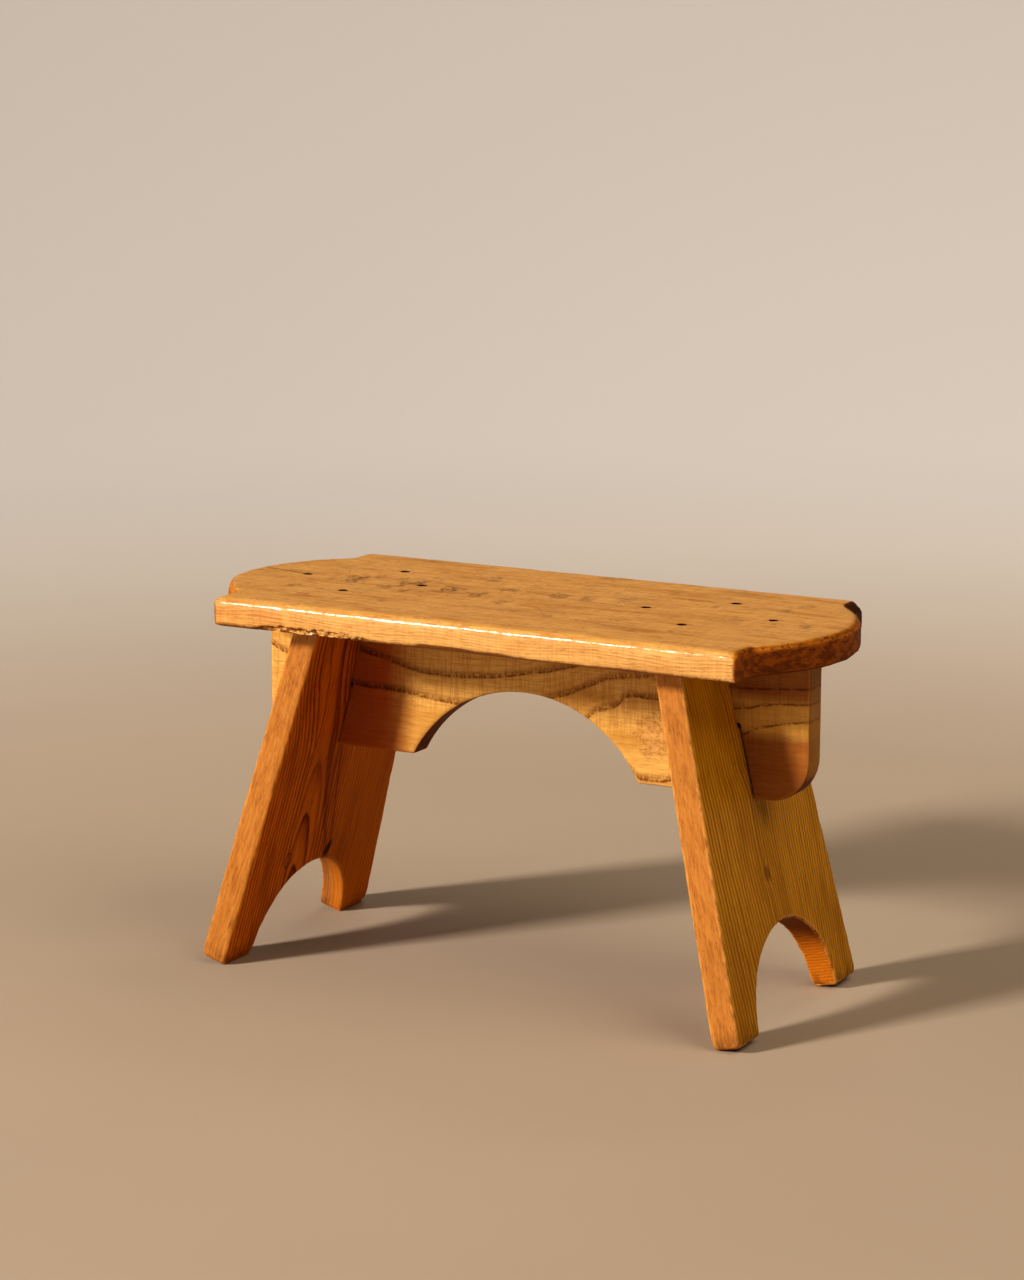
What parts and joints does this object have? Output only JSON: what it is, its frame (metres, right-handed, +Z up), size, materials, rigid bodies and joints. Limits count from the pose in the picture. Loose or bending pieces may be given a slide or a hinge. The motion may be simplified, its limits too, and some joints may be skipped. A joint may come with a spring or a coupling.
{
  "type": "milking stool",
  "caption": "Low wooden stool: seat board with bowed ends on two splayed arched leg boards, tied by an arched rail cross-lapped into the legs.",
  "frame": {"origin": "on the floor under the middle of the seat, midway between the seat's ends and edges", "axes": "+X along the seat towards its right-hand end, +Y to the back, +Z up"},
  "size_m": [0.4855, 0.213, 0.278],
  "materials": {
    "seat_wood": "glossy clear varnish over honey pine",
    "leg_wood": "satin clear varnish over orange pine",
    "rail_wood": "satin clear varnish over honey pine",
    "nail_iron": "dark, dull and slightly rusted"
  },
  "bodies": {
    "root": {"seat": "seat_wood", "leg_left": "leg_wood", "leg_right": "leg_wood", "rail": "rail_wood", "nails": "nail_iron"}
  },
  "joints": []
}
